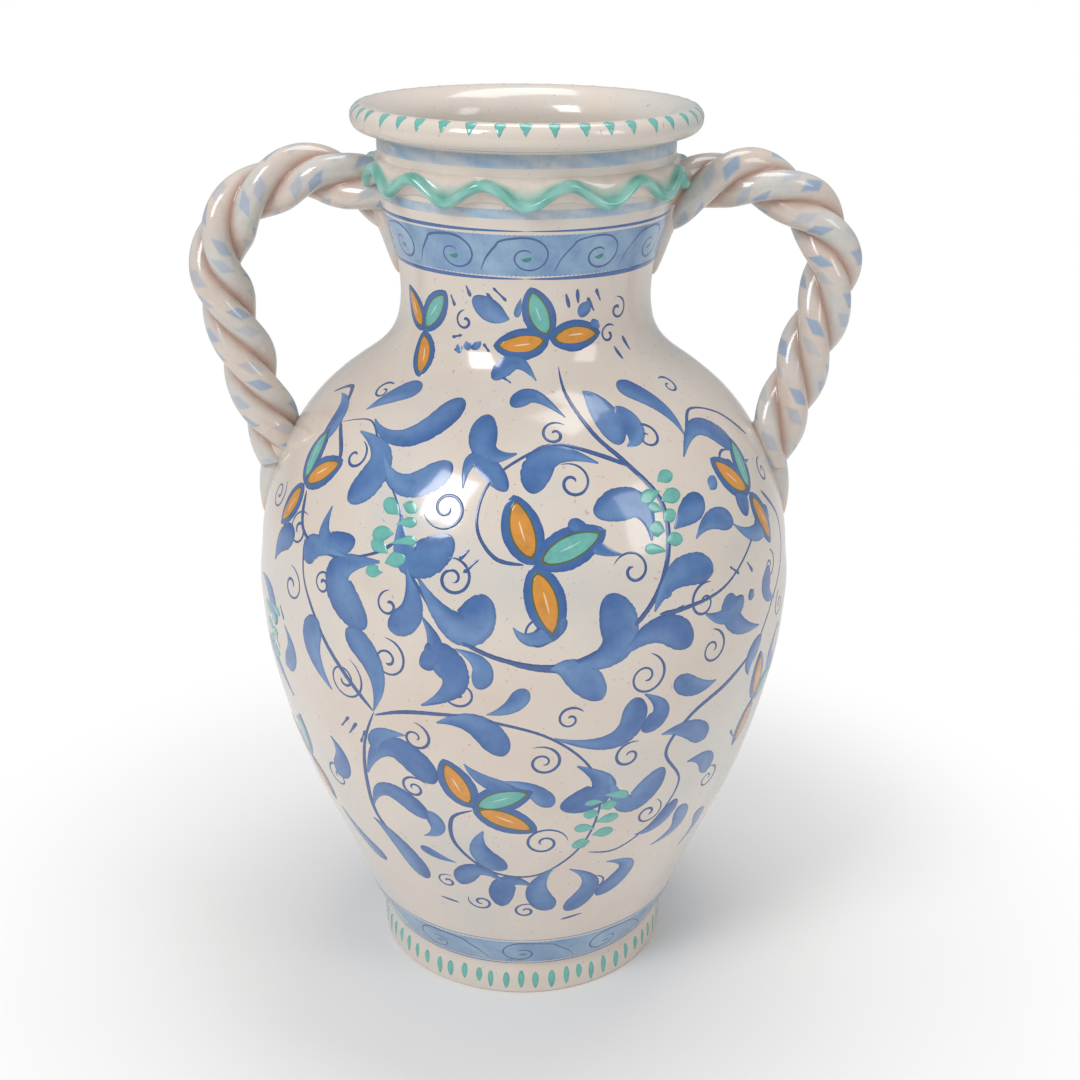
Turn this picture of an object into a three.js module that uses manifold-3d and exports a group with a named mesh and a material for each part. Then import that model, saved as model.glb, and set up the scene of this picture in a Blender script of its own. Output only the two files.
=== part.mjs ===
// Maiolica vase with two rope-twist handles, millimetres, +Z up, the foot on z = 0.
import * as THREE from 'three';
import { mergeVertices } from 'three/addons/utils/BufferGeometryUtils.js';
import Module from 'manifold-3d';

const wasm = await Module();
wasm.setup();

// Heights of the thrown sections, from the foot up
const footHeight = 18;
const lowerBodyHeight = 225;
const shoulderHeight = 159;
const neckHeight = 82;
const lipHeight = 16;

// Seams inside the lower body and the shoulder, as shares of those heights
const baseSeam = 0.48;
const shoulderSeam = 0.5;
const steepSeam = 0.78;

// Outer radii
const footRadius = 87;
const footJointRadius = 84.5;
const bellyRadius = 151.5;
const waistRadius = 68.2;
const collarRadius = 79;
const lipRadius = 92.5;

// Walls, bores and clearances
const wall = 8;
const floorThickness = 10;
const footRingWidth = 13;
const footChamfer = 2;
const seatGap = 0.3;
const strandGap = 0.4;

// Frill pressed on round the collar
const frillProjection = 8;
const frillDepth = 16;
const frillDrop = 12;
const frillWaves = 13;
const frillWaveHeight = 5;
const frillEdge = 3;

// Rope handles
const strandCount = 3;
const ropeRadius = 16.5;
const strandRadius = 9.2;
const ropePitch = 102;
const rootDrop = 33;
const handleReach = 87;
const handleRise = 11;
const landingDrop = 82;
const strandSteps = 42;

// Clay tongues smoothed down from the ends of the ropes
const upperTabLength = 34;
const upperTabWidth = 22;
const upperTabThickness = 6;
const lowerTabLength = 34;
const lowerTabWidth = 26;
const lowerTabThickness = 11;

const turnSteps = 64;
const glaze = 0xdfd3cb;
const stripClay = 0x8fd0c4;
const ropeGlaze = 0xd8c8bf;

const bellyZ = footHeight + lowerBodyHeight;
const waistZ = bellyZ + shoulderHeight;
const neckTopZ = waistZ + neckHeight;
const rimZ = neckTopZ + lipHeight;
const baseSeamZ = footHeight + lowerBodyHeight * baseSeam;
const shoulderSeamZ = bellyZ + shoulderHeight * shoulderSeam;
const steepSeamZ = bellyZ + shoulderHeight * steepSeam;

// A smooth curve through [position, value] pairs that never overshoots between them
function smoothCurve(points) {
  const slopes = points.map((point, i) => {
    if (i === 0 || i === points.length - 1) return 0;
    const [before, after] = [points[i - 1], points[i + 1]];
    const rise = (point[1] - before[1]) / (point[0] - before[0]);
    const next = (after[1] - point[1]) / (after[0] - point[0]);
    return rise * next <= 0 ? 0 : (2 * rise * next) / (rise + next);
  });
  slopes[0] = (points[1][1] - points[0][1]) / (points[1][0] - points[0][0]);
  return (x) => {
    let i = 0;
    while (i < points.length - 2 && x > points[i + 1][0]) i += 1;
    const span = points[i + 1][0] - points[i][0];
    const t = Math.min(1, Math.max(0, (x - points[i][0]) / span));
    const lift = points[i][1] * (1 + 2 * t) * (1 - t) ** 2 + points[i + 1][1] * (3 - 2 * t) * t ** 2;
    return lift + span * (slopes[i] * t * (1 - t) ** 2 - slopes[i + 1] * (1 - t) * t ** 2);
  };
}

// Shape of each section as shares of its own height and of its own change in radius
const lowerShape = smoothCurve([[0, 0], [0.1, 0.16], [0.19, 0.275], [0.33, 0.46], [0.5, 0.69], [0.68, 0.86],
  [0.85, 0.97], [1, 1]]);
const shoulderShape = smoothCurve([[0, 0], [0.23, 0.05], [0.39, 0.155], [0.52, 0.28], [0.61, 0.41],
  [0.69, 0.57], [0.76, 0.76], [0.835, 0.91], [0.92, 0.985], [1, 1]]);
const neckShape = smoothCurve([[0, 0], [0.13, 0.06], [0.38, 0.46], [0.6, 0.95], [0.72, 1], [1, 1]]);

function outerRadius(z) {
  if (z <= bellyZ) {
    const share = (z - footHeight) / lowerBodyHeight;
    return footJointRadius + (bellyRadius - footJointRadius) * lowerShape(share);
  }
  if (z <= waistZ) {
    return bellyRadius - (bellyRadius - waistRadius) * shoulderShape((z - bellyZ) / shoulderHeight);
  }
  return waistRadius + (collarRadius - waistRadius) * neckShape((z - waistZ) / neckHeight);
}

// The wall is as thick across a sloping stretch as across a straight one
function innerRadius(z) {
  const slope = (outerRadius(z + 0.5) - outerRadius(z - 0.5));
  return outerRadius(z) - wall * Math.hypot(1, slope);
}

function heights(from, to, count) {
  return Array.from({ length: count + 1 }, (_, i) => from + ((to - from) * i) / count);
}

function solidOf(geometry) {
  const bare = new THREE.BufferGeometry();
  bare.setAttribute('position', geometry.getAttribute('position'));
  bare.setIndex(geometry.getIndex());
  const merged = mergeVertices(bare, 1e-5);
  return new wasm.Manifold(new wasm.Mesh({
    numProp: 3,
    vertProperties: new Float32Array(merged.getAttribute('position').array),
    triVerts: new Uint32Array(merged.getIndex().array),
  }));
}

// Keeps the main body of a cut piece and drops the slivers that a cut leaves beside it
function geometryOf(solid) {
  const bodies = solid.decompose().sort((one, other) => other.volume() - one.volume());
  const mesh = bodies[0].getMesh();
  const geometry = new THREE.BufferGeometry();
  geometry.setAttribute('position', new THREE.BufferAttribute(new Float32Array(mesh.vertProperties), 3));
  geometry.setIndex(new THREE.BufferAttribute(new Uint32Array(mesh.triVerts), 1));
  return geometry;
}

// Turns a closed [radius, height] outline round the Z axis
function turned(outline) {
  const points = outline.map(([r, z]) => new THREE.Vector2(r, z));
  return new THREE.LatheGeometry([...points, points[0]], turnSteps).rotateX(Math.PI / 2);
}

// Joins rings of points into a closed skin. A quad's diagonal starts at the nearer ring on the first half of the
// section and at the farther ring on the second half, so that strands side by side share one face between them.
function skinned(rings, mirrored = false) {
  const count = rings[0].length;
  const positions = rings.flat().flatMap((p) => [p.x, p.y, p.z]);
  const index = [];
  for (let i = 0; i < rings.length - 1; i += 1) {
    for (let j = 0; j < count; j += 1) {
      const next = (j + 1) % count;
      const [a, b, c, d] = [i * count + j, i * count + next, (i + 1) * count + next, (i + 1) * count + j];
      if (mirrored && j >= count / 2) index.push(a, b, d, b, c, d);
      else index.push(a, b, c, a, c, d);
    }
  }
  const last = (rings.length - 1) * count;
  for (let j = 1; j < count - 1; j += 1) {
    index.push(0, j + 1, j);
    index.push(last, last + j, last + j + 1);
  }
  const geometry = new THREE.BufferGeometry();
  geometry.setAttribute('position', new THREE.BufferAttribute(new Float32Array(positions), 3));
  geometry.setIndex(index);
  return geometry;
}

const group = new THREE.Group();

function add(name, geometry, color, roughness = 0.18) {
  geometry.computeVertexNormals();
  const mesh = new THREE.Mesh(geometry, new THREE.MeshStandardMaterial({ color, roughness, metalness: 0 }));
  mesh.name = name;
  group.add(mesh);
}

// Thrown sections, which meet on flat seams
function makeFootRing() {
  const bore = footJointRadius - footRingWidth;
  add('foot_ring', turned([
    [bore, 0], [footRadius - footChamfer, 0], [footRadius, footChamfer], [footRadius, footHeight * 0.6],
    [footRadius - 0.5, footHeight * 0.85], [footJointRadius, footHeight], [bore, footHeight],
  ]), glaze);
}

function makeLowerBody() {
  const outside = heights(footHeight, baseSeamZ, 7).map((z) => [outerRadius(z), z]);
  const inside = heights(baseSeamZ, footHeight + floorThickness, 6).map((z) => [innerRadius(z), z]);
  const points = [[0, footHeight], ...outside, ...inside, [0, footHeight + floorThickness]];
  const outline = points.map(([r, z]) => new THREE.Vector2(r, z));
  add('lower_body', new THREE.LatheGeometry(outline, turnSteps).rotateX(Math.PI / 2), glaze);
}

function makeThrownRing(name, from, to, steps) {
  const outside = heights(from, to, steps).map((z) => [outerRadius(z), z]);
  const inside = heights(to, from, steps).map((z) => [innerRadius(z), z]);
  add(name, turned([...outside, ...inside]), glaze);
}

function makeLip() {
  const throat = innerRadius(neckTopZ);
  const bead = lipHeight * 0.42;
  const beadZ = rimZ - bead;
  const crest = lipRadius - bead * 0.9;
  const arc = heights(-Math.PI / 2, Math.PI / 2, 8).map((angle) => [
    crest + (lipRadius - crest) * Math.cos(angle), beadZ + bead * Math.sin(angle)]);
  add('rim_lip', turned([
    [throat, neckTopZ], [collarRadius, neckTopZ], ...arc,
    [crest - wall * 0.5, rimZ - lipHeight * 0.1], [throat + wall * 0.5, neckTopZ + lipHeight * 0.4],
  ]), glaze);
}

// Wavy strip round the collar
const frillTopZ = neckTopZ - frillDrop;
const frillBottomZ = frillTopZ - frillDepth;

function makeFrill() {
  const root = collarRadius + seatGap;
  const edge = collarRadius + frillProjection;
  const steps = frillWaves * 6;
  const rings = heights(0, 2 * Math.PI, steps).slice(0, steps).map((angle) => {
    const wave = frillWaveHeight * Math.sin(frillWaves * angle);
    const middle = (frillTopZ + frillBottomZ) / 2 + wave;
    return [
      [root, frillBottomZ + frillEdge], [edge - frillEdge, middle - frillEdge], [edge, middle],
      [edge - frillEdge, middle + frillEdge], [root, frillTopZ],
    ].map(([r, z]) => new THREE.Vector3(r * Math.cos(angle), r * Math.sin(angle), z));
  });
  const count = rings[0].length;
  const index = [];
  for (let i = 0; i < steps; i += 1) {
    for (let j = 0; j < count; j += 1) {
      const [here, there] = [i * count, ((i + 1) % steps) * count];
      const next = (j + 1) % count;
      index.push(here + j, there + j, there + next, here + j, there + next, here + next);
    }
  }
  const geometry = new THREE.BufferGeometry();
  geometry.setAttribute('position', new THREE.BufferAttribute(
    new Float32Array(rings.flat().flatMap((p) => [p.x, p.y, p.z])), 3));
  geometry.setIndex(index);
  add('frill_band', geometry, stripClay);
}

// Space that the vase itself takes up, grown by the seat gap, with the frill's whole reach
function seatSpace() {
  const outside = heights(footHeight, neckTopZ, 48).map((z) => [outerRadius(z) + seatGap * 1.2, z]);
  const core = waistRadius - 2 * wall;
  const body = solidOf(turned([...outside, [core, neckTopZ], [core, footHeight]]));
  const frill = solidOf(turned([
    [core, frillBottomZ - frillEdge], [collarRadius + frillProjection + seatGap, frillBottomZ - frillEdge],
    [collarRadius + frillProjection + seatGap, frillTopZ + frillEdge], [core, frillTopZ + frillEdge],
  ]));
  return body.add(frill);
}

// Middle line of a rope, in the plane of the handles: out of the neck, over the arch and down to the shoulder
const rootZ = neckTopZ - rootDrop;
const outmostX = collarRadius + handleReach;
const archZ = rootZ + handleRise;
const landingZ = waistZ - landingDrop;
const landingX = outerRadius(landingZ) + ropeRadius * 0.55;
const drop = archZ - landingZ;
const reach = outmostX - collarRadius;
const ropeLine = new THREE.CatmullRomCurve3([
  [collarRadius - wall * 0.8, rootZ - 3], [collarRadius + reach * 0.12, rootZ + handleRise * 0.5],
  [collarRadius + reach * 0.36, archZ], [collarRadius + reach * 0.6, archZ - drop * 0.03],
  [collarRadius + reach * 0.81, archZ - drop * 0.11], [outmostX - reach * 0.05, archZ - drop * 0.22],
  [outmostX, archZ - drop * 0.35], [outmostX - reach * 0.04, archZ - drop * 0.5],
  [outmostX - reach * 0.13, archZ - drop * 0.69], [(landingX + outmostX - reach * 0.13) / 2, archZ - drop * 0.87],
  [landingX, landingZ], [landingX - 4, landingZ - ropeRadius * 0.9],
].map(([x, z]) => new THREE.Vector3(x, 0, z)), false, 'centripetal');

// A ring of points across the rope, in the plane square to its middle line
function ropeRing(share, section, turn) {
  const centre = ropeLine.getPointAt(share);
  const along = ropeLine.getTangentAt(share);
  const across = new THREE.Vector3(along.z, 0, -along.x);
  const side = new THREE.Vector3(0, 1, 0);
  return section.map(([distance, angle]) => centre.clone()
    .addScaledVector(across, distance * Math.cos(angle + turn))
    .addScaledVector(side, distance * Math.sin(angle + turn)));
}

// One strand's section: a round lobe, cut flat where it is pressed against its neighbours
function strandSection() {
  const half = Math.PI / strandCount;
  const offset = ropeRadius - strandRadius;
  const apex = (strandGap / 2) / Math.sin(half);
  const points = [[apex, 0]];
  const arcSteps = 6;
  for (let k = 0; k <= arcSteps; k += 1) {
    const angle = half * ((2 * k) / arcSteps - 1);
    const lobe = offset * Math.cos(angle) + Math.sqrt(strandRadius ** 2 - (offset * Math.sin(angle)) ** 2);
    const pull = Math.abs(k - arcSteps / 2) === arcSteps / 2 ? Math.asin(strandGap / 2 / lobe) : 0;
    points.push([lobe, angle - Math.sign(angle) * pull]);
  }
  return points;
}

function strandSolid(number, space) {
  const turns = ropeLine.getLength() / ropePitch;
  const start = (2 * Math.PI * number) / strandCount;
  const rings = heights(0, 1, strandSteps).map((share) => ropeRing(
    share, strandSection(), start - 2 * Math.PI * turns * share));
  return solidOf(skinned(rings, true)).subtract(space);
}

function ropeEnvelope() {
  const circle = heights(0, 2 * Math.PI, 20).slice(0, 20).map((angle) => [ropeRadius * 1.03 + seatGap, angle]);
  return solidOf(skinned(heights(0, 1, 40).map((share) => ropeRing(share, circle, 0))));
}

// A tongue that lies on the vase from one height down to another and thins towards its tip
function tabSolid(topZ, length, width, thickness, taper) {
  const rings = heights(0, 1, 10).map((share) => {
    const z = topZ - length * share;
    const slope = outerRadius(z + 0.5) - outerRadius(z - 0.5);
    const out = new THREE.Vector3(1, 0, -slope).normalize();
    const centre = new THREE.Vector3(outerRadius(z), 0, z);
    const round = Math.sqrt(Math.max(0.06, 1 - share ** 3));
    const half = (width / 2) * round;
    const high = thickness * (1 - taper * share) * round;
    return heights(0, Math.PI, 8).map((angle) => centre.clone()
      .addScaledVector(new THREE.Vector3(0, 1, 0), half * Math.cos(angle))
      .addScaledVector(out, high * Math.sin(angle) - 0.4))
      .concat([centre.clone().addScaledVector(new THREE.Vector3(0, -1, 0), half).addScaledVector(out, -wall / 2),
        centre.clone().addScaledVector(new THREE.Vector3(0, 1, 0), half).addScaledVector(out, -wall / 2)]);
  });
  return solidOf(skinned(rings));
}

function makeHandles() {
  const space = seatSpace();
  const rope = ropeEnvelope();
  const pieces = [];
  for (let number = 0; number < strandCount; number += 1) {
    pieces.push([`strand_${'abc'[number] ?? number}`, geometryOf(strandSolid(number, space))]);
  }
  const upper = tabSolid(rootZ - ropeRadius * 0.35, upperTabLength, upperTabWidth, upperTabThickness, 0.35);
  const lower = tabSolid(landingZ - ropeRadius * 0.2, lowerTabLength + ropeRadius, lowerTabWidth,
    lowerTabThickness, 0.75);
  pieces.push(['neck_tab', geometryOf(upper.subtract(space).subtract(rope))]);
  pieces.push(['shoulder_tab', geometryOf(lower.subtract(space).subtract(rope))]);
  for (const [side, angle] of [['right', 0], ['left', Math.PI]]) {
    for (const [name, geometry] of pieces) {
      add(`${side}_${name}`, geometry.clone().rotateZ(angle), ropeGlaze);
    }
  }
}

makeFootRing();
makeLowerBody();
makeThrownRing('belly_section', baseSeamZ, bellyZ, 6);
makeThrownRing('shoulder_section', bellyZ, shoulderSeamZ, 5);
makeThrownRing('steep_section', shoulderSeamZ, steepSeamZ, 4);
makeThrownRing('waist_section', steepSeamZ, waistZ, 4);
makeThrownRing('neck_section', waistZ, neckTopZ, 8);
makeLip();
makeFrill();
makeHandles();

export default group;
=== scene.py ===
# Maiolica vase with rope handles: glazed body, frill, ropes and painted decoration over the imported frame
import math
import random

import bpy
import bmesh
from mathutils import Matrix, Vector


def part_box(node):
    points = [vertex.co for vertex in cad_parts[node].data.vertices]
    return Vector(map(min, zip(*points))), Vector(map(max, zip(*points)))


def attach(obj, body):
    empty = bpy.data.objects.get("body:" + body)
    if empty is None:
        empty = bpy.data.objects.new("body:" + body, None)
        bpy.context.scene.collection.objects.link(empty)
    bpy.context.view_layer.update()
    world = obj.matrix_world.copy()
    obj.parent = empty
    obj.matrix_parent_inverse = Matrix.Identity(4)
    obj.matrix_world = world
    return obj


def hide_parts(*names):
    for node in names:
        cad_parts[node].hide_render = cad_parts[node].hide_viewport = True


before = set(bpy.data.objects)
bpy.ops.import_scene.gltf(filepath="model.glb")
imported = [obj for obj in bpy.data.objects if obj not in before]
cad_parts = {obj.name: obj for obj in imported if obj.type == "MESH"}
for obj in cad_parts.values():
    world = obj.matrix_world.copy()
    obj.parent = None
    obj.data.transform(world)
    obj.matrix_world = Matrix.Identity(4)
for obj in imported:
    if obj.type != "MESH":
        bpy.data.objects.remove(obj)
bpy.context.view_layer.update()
random.seed(7)
mm = 0.001
print("frame loaded")


# Camera: the photo was taken from about 0.8 m away and a little above the rim
camera = {
    "place": (0.0, -0.834, 0.595),
    "pitch": 22.27,
    "roll": 0.57,
    "yaw": 0.62,
    "lens": 51.87,
}


def placeCamera(spec):
    data = bpy.data.cameras.new("photoCamera")
    data.lens = spec["lens"]
    data.sensor_width = 36.0
    thing = bpy.data.objects.new("photoCamera", data)
    bpy.context.collection.objects.link(thing)
    pitch, roll, yaw = (math.radians(spec[k]) for k in ("pitch", "roll", "yaw"))
    ahead = Vector((math.sin(yaw) * math.cos(pitch), math.cos(yaw) * math.cos(pitch), -math.sin(pitch)))
    right = ahead.cross(Vector((0, 0, 1))).normalized()
    up = right.cross(ahead)
    turnedRight = math.cos(roll) * right + math.sin(roll) * up
    turnedUp = -math.sin(roll) * right + math.cos(roll) * up
    axes = Matrix((turnedRight, turnedUp, -ahead)).transposed()
    thing.matrix_world = Matrix.Translation(spec["place"]) @ axes.to_4x4()
    bpy.context.scene.camera = thing


placeCamera(camera)
print("camera placed")


# Colours are written as they look on screen, from 0 to 255
def colour(red, green, blue):
    values = []
    for level in (red, green, blue):
        share = level / 255
        values.append(share / 12.92 if share <= 0.04045 else ((share + 0.055) / 1.055) ** 2.4)
    return (*values, 1.0)


glazes = {
    "cream": colour(222, 211, 200),
    "creamWarm": colour(218, 201, 188),
    "creamCool": colour(208, 206, 201),
    "wash": colour(150, 181, 208),
    "washDeep": colour(104, 142, 186),
    "blue": colour(66, 108, 168),
    "bluePale": colour(112, 150, 196),
    "blueDeep": colour(30, 66, 124),
    "line": colour(66, 98, 152),
    "lineDeep": colour(42, 70, 128),
    "orange": colour(222, 150, 62),
    "orangeDeep": colour(196, 112, 34),
    "teal": colour(112, 186, 176),
    "tealDeep": colour(38, 140, 122),
    "olive": colour(92, 104, 62),
    "pale": colour(250, 214, 170),
    "palerTeal": colour(176, 220, 212),
    "turquoise": colour(128, 196, 182),
    "groove": colour(176, 132, 112),
    "ropeBlue": colour(150, 172, 198),
}


def newMaterial(name):
    mat = bpy.data.materials.new(name)
    mat.use_nodes = True
    nodes = mat.node_tree.nodes
    return mat, nodes, mat.node_tree.links, nodes["Principled BSDF"]


def addNode(nodes, kind, **settings):
    node = nodes.new(kind)
    for key, value in settings.items():
        if key in node.inputs:
            node.inputs[key].default_value = value
        else:
            setattr(node, key, value)
    return node


# How the fired glaze shines, and its slow ripple
gloss = {
    "roughness": 0.16,
    "index": 1.52,
    "coat": 0.5,
    "coatRoughness": 0.06,
    "rippleScale": 26.0,
    "rippleStrength": 0.10,
    "rippleDistance": 0.004,
}


def glossySettings(shader):
    shader.inputs["Roughness"].default_value = gloss["roughness"]
    shader.inputs["IOR"].default_value = gloss["index"]
    shader.inputs["Coat Weight"].default_value = gloss["coat"]
    shader.inputs["Coat Roughness"].default_value = gloss["coatRoughness"]


def addRipple(nodes, links, shader):
    place = addNode(nodes, "ShaderNodeTexCoord")
    slow = addNode(nodes, "ShaderNodeTexNoise", Scale=gloss["rippleScale"], Detail=3.0, Roughness=0.5)
    bump = addNode(nodes, "ShaderNodeBump", Strength=gloss["rippleStrength"], Distance=gloss["rippleDistance"])
    links.new(place.outputs["Object"], slow.inputs["Vector"])
    links.new(slow.outputs["Fac"], bump.inputs["Height"])
    links.new(bump.outputs["Normal"], shader.inputs["Normal"])
    links.new(bump.outputs["Normal"], shader.inputs["Coat Normal"])
    return place


def ramp(nodes, stops):
    node = nodes.new("ShaderNodeValToRGB")
    band = node.color_ramp
    while len(band.elements) > 1:
        band.elements.remove(band.elements[-1])
    band.elements[0].position, band.elements[0].color = stops[0]
    for position, tone in stops[1:]:
        band.elements.new(position).color = tone
    return node


def tinGlaze():
    mat, nodes, links, shader = newMaterial("tinGlaze")
    place = addRipple(nodes, links, shader)
    clouds = addNode(nodes, "ShaderNodeTexNoise", Scale=9.0, Detail=4.0, Roughness=0.6)
    tones = ramp(nodes, [
        (0.32, glazes["creamCool"]), (0.5, glazes["cream"]), (0.72, glazes["creamWarm"])])
    specks = addNode(nodes, "ShaderNodeTexNoise", Scale=420.0, Detail=1.0)
    pinholes = ramp(nodes, [(0.24, (0.62, 0.5, 0.42, 1)), (0.29, (1, 1, 1, 1))])
    joined = addNode(nodes, "ShaderNodeMix", data_type="RGBA", blend_type="MULTIPLY")
    joined.inputs[0].default_value = 0.55
    links.new(place.outputs["Object"], clouds.inputs["Vector"])
    links.new(place.outputs["Object"], specks.inputs["Vector"])
    links.new(clouds.outputs["Fac"], tones.inputs["Fac"])
    links.new(specks.outputs["Fac"], pinholes.inputs["Fac"])
    links.new(tones.outputs["Color"], joined.inputs[6])
    links.new(pinholes.outputs["Color"], joined.inputs[7])
    links.new(joined.outputs[2], shader.inputs["Base Color"])
    glossySettings(shader)
    return mat


# Painted colour: the stroke's own colour is an attribute, brush streaks come from noise
def brushPaint(name, streak):
    mat, nodes, links, shader = newMaterial(name)
    place = addRipple(nodes, links, shader)
    pigment = addNode(nodes, "ShaderNodeAttribute", attribute_name="pigment")
    mottle = addNode(nodes, "ShaderNodeTexNoise", Scale=150.0, Detail=4.0, Roughness=0.65)
    pool = ramp(nodes, [(0.3, (0.72, 0.78, 0.84, 1)), (0.55, (1, 1, 1, 1)), (0.78, (1.0, 1.0, 1.0, 1))])
    joined = addNode(nodes, "ShaderNodeMix", data_type="RGBA", blend_type="MULTIPLY")
    joined.inputs[0].default_value = streak
    links.new(place.outputs["Object"], mottle.inputs["Vector"])
    links.new(mottle.outputs["Fac"], pool.inputs["Fac"])
    links.new(pigment.outputs["Color"], joined.inputs[6])
    links.new(pool.outputs["Color"], joined.inputs[7])
    links.new(joined.outputs[2], shader.inputs["Base Color"])
    glossySettings(shader)
    return mat


materials = {
    "glaze": tinGlaze(),
    "paint": brushPaint("brushPaint", 0.85),
    "rope": brushPaint("ropeGlaze", 0.35),
    "strip": brushPaint("stripGlaze", 0.4),
}
print("materials made")


# The outer outline, from the frame's own thrown sections: widest radius at each height
def stationsOf(node):
    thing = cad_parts[node]
    points = [thing.matrix_world @ v.co for v in thing.data.vertices]
    widest = {}
    for face in thing.data.polygons:
        corners = [points[i] for i in face.vertices]
        middle = sum(corners, Vector()) / len(corners)
        normal = (corners[1] - corners[0]).cross(corners[2] - corners[0]).normalized()
        if normal.x * middle.x + normal.y * middle.y > 0.3 * math.hypot(middle.x, middle.y):
            for point in corners:
                key = round(point.z, 5)
                widest[key] = max(widest.get(key, 0.0), math.hypot(point.x, point.y))
    return sorted(widest.items())


def smoothThrough(points):
    def slopeAt(i):
        low, high = max(0, i - 1), min(len(points) - 1, i + 1)
        return (points[high][1] - points[low][1]) / (points[high][0] - points[low][0])

    def value(x):
        i = 0
        while i < len(points) - 2 and x > points[i + 1][0]:
            i += 1
        span = points[i + 1][0] - points[i][0]
        t = min(1.0, max(0.0, (x - points[i][0]) / span))
        a, b = slopeAt(i) * span, slopeAt(i + 1) * span
        return ((1 + 2 * t) * (1 - t) ** 2 * points[i][1] + t * (1 - t) ** 2 * a
                + t * t * (3 - 2 * t) * points[i + 1][1] - t * t * (1 - t) * b)
    return value


# The glaze stands a hair inside the frame, which leaves room for the paint
paintRoom = 0.0005
floorThickness = 0.010
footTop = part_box("foot_ring")[1][2]
floorZ = footTop + floorThickness
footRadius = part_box("foot_ring")[1][0] - paintRoom
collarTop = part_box("neck_section")[1][2]
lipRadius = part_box("rim_lip")[1][0] - paintRoom
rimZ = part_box("rim_lip")[1][2] - paintRoom
bodyStations = {}
thrown = ["lower_body", "belly_section", "shoulder_section", "steep_section", "waist_section",
          "neck_section"]
for part in thrown:
    for z, r in stationsOf(part):
        bodyStations[z] = max(bodyStations.get(z, 0), r)
bodyStations = [(z, r) for z, r in sorted(bodyStations.items()) if z >= footTop - 1e-5]
leastStep = 0.004
outsideStations = [bodyStations[0]]
for z, r in bodyStations[1:]:
    if z - outsideStations[-1][0] > leastStep:
        outsideStations.append((z, r))
outlineCurve = smoothThrough(outsideStations)


def outerRadius(z):
    return outlineCurve(z) - paintRoom


collarRadius = outerRadius(collarTop)

body = {
    "turnSteps": 208,
    "stationGap": 0.0032,
    "wall": 0.008,
    "footBore": 0.0715,
    "chamfer": 0.002,
    "underGap": 0.0004,
    "lipBead": 0.0067,
    "crestSteps": 9,
    "throatSteps": 8,
}


def outlineOutside():
    chamfer = body["chamfer"]
    points = [(body["footBore"], 0.0006), (body["footBore"] + 0.0012, 0.0), (footRadius - chamfer, 0.0)]
    for k in range(1, 5):
        angle = math.pi / 2 * k / 4
        points.append((footRadius - chamfer + chamfer * math.sin(angle), chamfer - chamfer * math.cos(angle)))
    points += [(footRadius, 0.006), (footRadius, 0.0108)]
    points += [(footRadius - 0.0004, 0.0138), (footRadius - 0.0013, 0.0163)]
    steps = int((collarTop - footTop) / body["stationGap"])
    for k in range(steps + 1):
        z = footTop + (collarTop - footTop) * k / steps
        points.append((outerRadius(z), z))
    bead = body["lipBead"]
    crest = lipRadius - bead * 0.9
    for k in range(body["crestSteps"] * 2 + 1):
        angle = -math.pi / 2 + math.pi * k / (body["crestSteps"] * 2)
        points.append((crest + (lipRadius - crest) * math.cos(angle),
                       rimZ - bead + bead * math.sin(angle)))
    return points


def outlineInside():
    points = []
    throat = collarRadius - body["wall"]
    crest = lipRadius - body["lipBead"] * 0.9
    for k in range(1, body["throatSteps"] + 1):
        t = k / body["throatSteps"]
        ease = 1 - (1 - t) ** 1.6
        points.append((crest + (throat - crest) * ease, rimZ + (collarTop - rimZ) * t ** 1.5))
    steps = 90
    for k in range(1, steps + 1):
        z = collarTop + (floorZ - collarTop) * k / steps
        slope = (outerRadius(z + mm / 2) - outerRadius(z - mm / 2)) / mm
        points.append((outerRadius(z) - body["wall"] * math.hypot(1, slope), z))
    points += [(0.05, floorZ), (0.025, floorZ), (0.0, floorZ)]
    return points


def outlineUnder():
    under = footTop - body["underGap"]
    fillet = 0.002
    bore = body["footBore"]
    return [(0.0, under), (0.03, under), (bore - fillet, under), (bore, under - fillet)]


def spinShell(name, outline, steps):
    bpy.ops.object.select_all(action="DESELECT")
    bpy.ops.mesh.primitive_plane_add(size=0.01, location=(0, 0, 0))
    thing = bpy.context.object
    thing.name = name
    mesh = thing.data
    mesh.name = name
    work = bmesh.new()
    work.verts.new((outline[0][0], 0, outline[0][1]))
    work.to_mesh(mesh)
    work.free()
    bpy.ops.object.mode_set(mode="EDIT")
    bpy.ops.mesh.select_all(action="SELECT")
    for here, there in zip(outline, outline[1:]):
        bpy.ops.mesh.extrude_vertices_move(
            TRANSFORM_OT_translate={"value": (there[0] - here[0], 0, there[1] - here[1])})
    bpy.ops.mesh.select_all(action="SELECT")
    bpy.ops.mesh.spin(steps=steps, angle=2 * math.pi, center=(0, 0, 0), axis=(0, 0, 1))
    bpy.ops.mesh.select_all(action="SELECT")
    bpy.ops.mesh.remove_doubles(threshold=0.00002)
    bpy.ops.mesh.normals_make_consistent(inside=False)
    bpy.ops.mesh.faces_shade_smooth()
    bpy.ops.object.mode_set(mode="OBJECT")
    return thing


def makeBody():
    outside = outlineOutside()
    outline = outlineUnder() + outside + outlineInside()
    shell = spinShell("glazedBody", outline, body["turnSteps"])
    shell.data.materials.append(materials["glaze"])
    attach(shell, "root")
    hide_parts("foot_ring", "rim_lip", *thrown)
    return outside


outsideLine = makeBody()
print("body turned")


# Painting surface: azimuth in degrees (0 faces the viewer) and the distance along the outline
paintLine = outsideLine[2:]
arcAt = [0.0]
for here, there in zip(paintLine, paintLine[1:]):
    arcAt.append(arcAt[-1] + math.dist(here, there))


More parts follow.
